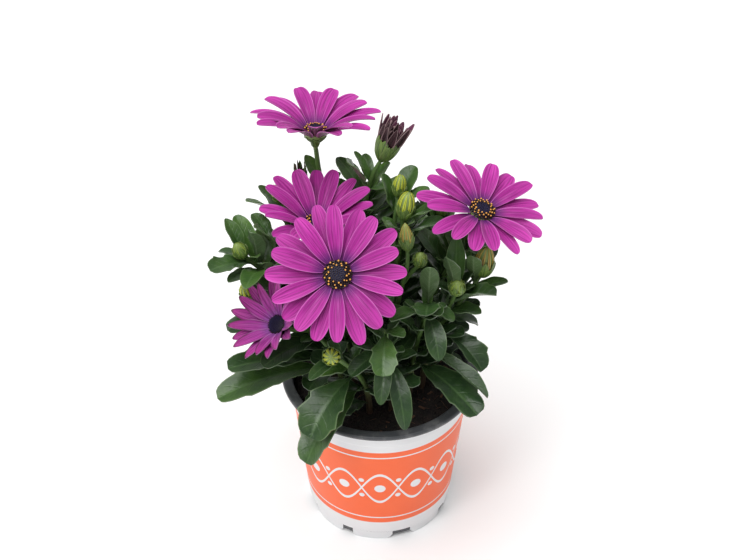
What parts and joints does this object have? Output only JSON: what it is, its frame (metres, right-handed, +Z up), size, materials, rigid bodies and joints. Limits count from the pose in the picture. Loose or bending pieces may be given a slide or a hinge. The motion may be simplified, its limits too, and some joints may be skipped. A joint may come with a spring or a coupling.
{
  "type": "potted osteospermum",
  "caption": "Flowering osteospermum with magenta daisies, closed buds and leafy branching shoots, growing in a tapered round plastic pot with a flanged rim and a notched foot.",
  "frame": {"origin": "centre of the pot's underside, on the flat pad that the pot stands on with its foot", "axes": "+Z up along the pot's axis and the plant's height, +X to the right and +Y away from the picture's viewer"},
  "size_m": [0.1858, 0.1575, 0.2741],
  "materials": {
    "pot_plastic": "thin moulded pot, white outside with an orange band, dark grey inside and on the rim",
    "potting_mix": "damp dark peat with lumps and fibres",
    "leaf": "fleshy leaf, dark green with a soft sheen, paler below, young shoots yellow green",
    "ray_floret": "petal, magenta purple with fine long lines, violet at its base, brown purple behind",
    "closing_ray": "rolled back of a closing ray, brown purple with pale edges",
    "disc_floret": "packed florets, navy to dark purple with orange pollen"
  },
  "bodies": {
    "root": {"pot": "pot_plastic", "potting_mix": "potting_mix", "shoot_front_bloom": "leaf", "shoot_tall_bloom": "leaf", "shoot_middle_bloom": "leaf", "shoot_right_bloom": "leaf", "shoot_low_bloom": "leaf", "shoot_top_bud": "leaf", "shoot_bud_pair": "leaf", "shoot_right": "leaf", "shoot_right_low": "leaf", "shoot_front_right": "leaf", "shoot_front_low": "leaf", "shoot_left": "leaf", "shoot_back_left": "leaf", "shoot_back": "leaf", "shoot_back_right": "leaf", "shoot_far_right": "leaf", "rays_front_bloom": "ray_floret", "rays_tall_bloom": "ray_floret", "rays_middle_bloom": "ray_floret", "rays_right_bloom": "ray_floret", "rays_low_bloom": "ray_floret", "rays_top_bud": "closing_ray", "disc_front_bloom": "disc_floret", "disc_tall_bloom": "disc_floret", "disc_middle_bloom": "disc_floret", "disc_right_bloom": "disc_floret", "disc_low_bloom": "disc_floret"}
  },
  "joints": []
}
